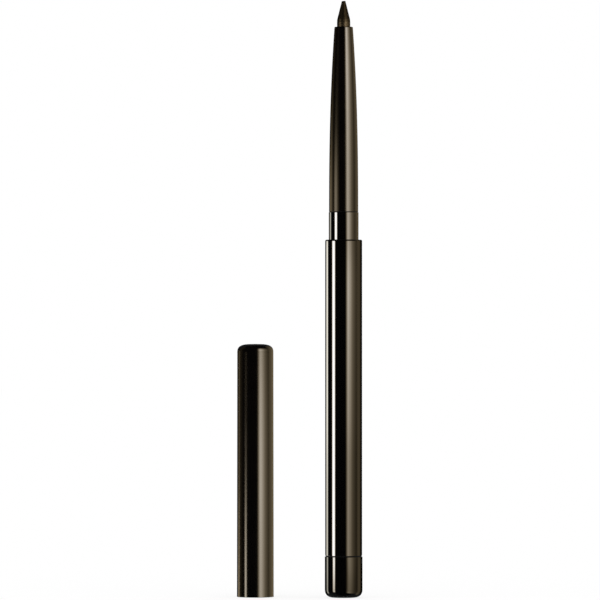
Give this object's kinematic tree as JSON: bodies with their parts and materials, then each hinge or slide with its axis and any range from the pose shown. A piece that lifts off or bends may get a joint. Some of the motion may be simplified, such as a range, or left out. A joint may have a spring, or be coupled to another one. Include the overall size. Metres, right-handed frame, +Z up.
{
  "type": "twist-up kohl pencil",
  "caption": "Slim black twist-up cosmetic pencil standing on its turning base, with a tapered nose, blunt cone lead and long round cap taken off beside it.",
  "frame": {"origin": "centre of the flat foot under the twist base", "axes": "+Z up along the pencil towards the lead, -X towards the cap that stands beside it"},
  "size_m": [0.028, 0.0113, 0.1329],
  "materials": {
    "gloss_black": "high gloss warm black",
    "satin_black": "satin warm black",
    "kohl": "waxy brown black pigment lead",
    "natural_plastic": "moulded natural plastic",
    "grey_plastic": "moulded grey plastic",
    "black_rubber": "plain black rubber"
  },
  "bodies": {
    "pencil": {"barrel": "gloss_black", "neck_collar": "gloss_black", "nose_cone": "satin_black", "guide_tube": "grey_plastic"},
    "twist": {"twist_base": "gloss_black", "spiral_sleeve": "natural_plastic", "friction_o_ring": "black_rubber"},
    "lead": {"lead": "kohl", "lead_holder": "natural_plastic"},
    "cap": {"cap_shell": "satin_black", "inner_cap": "natural_plastic"}
  },
  "joints": [
    {"name": "base_twist", "type": "hinge", "parent": "pencil", "child": "twist", "pos_m": [0, 0, 0], "axis": [0, 0, 1], "range_deg": [-283.5, 1800]},
    {"name": "lead_slide", "type": "slide", "parent": "pencil", "child": "lead", "axis": [0, 0, 1], "range_m": [-0.0063, 0.04]},
    {"name": "cap_lift", "type": "slide", "parent": "pencil", "child": "cap", "axis": [0, 0, 1], "range_m": [0, 0.14]}
  ],
  "couplings": [
    {"joint": "base_twist", "follows": "lead_slide", "rad_per_m": 785.4}
  ]
}
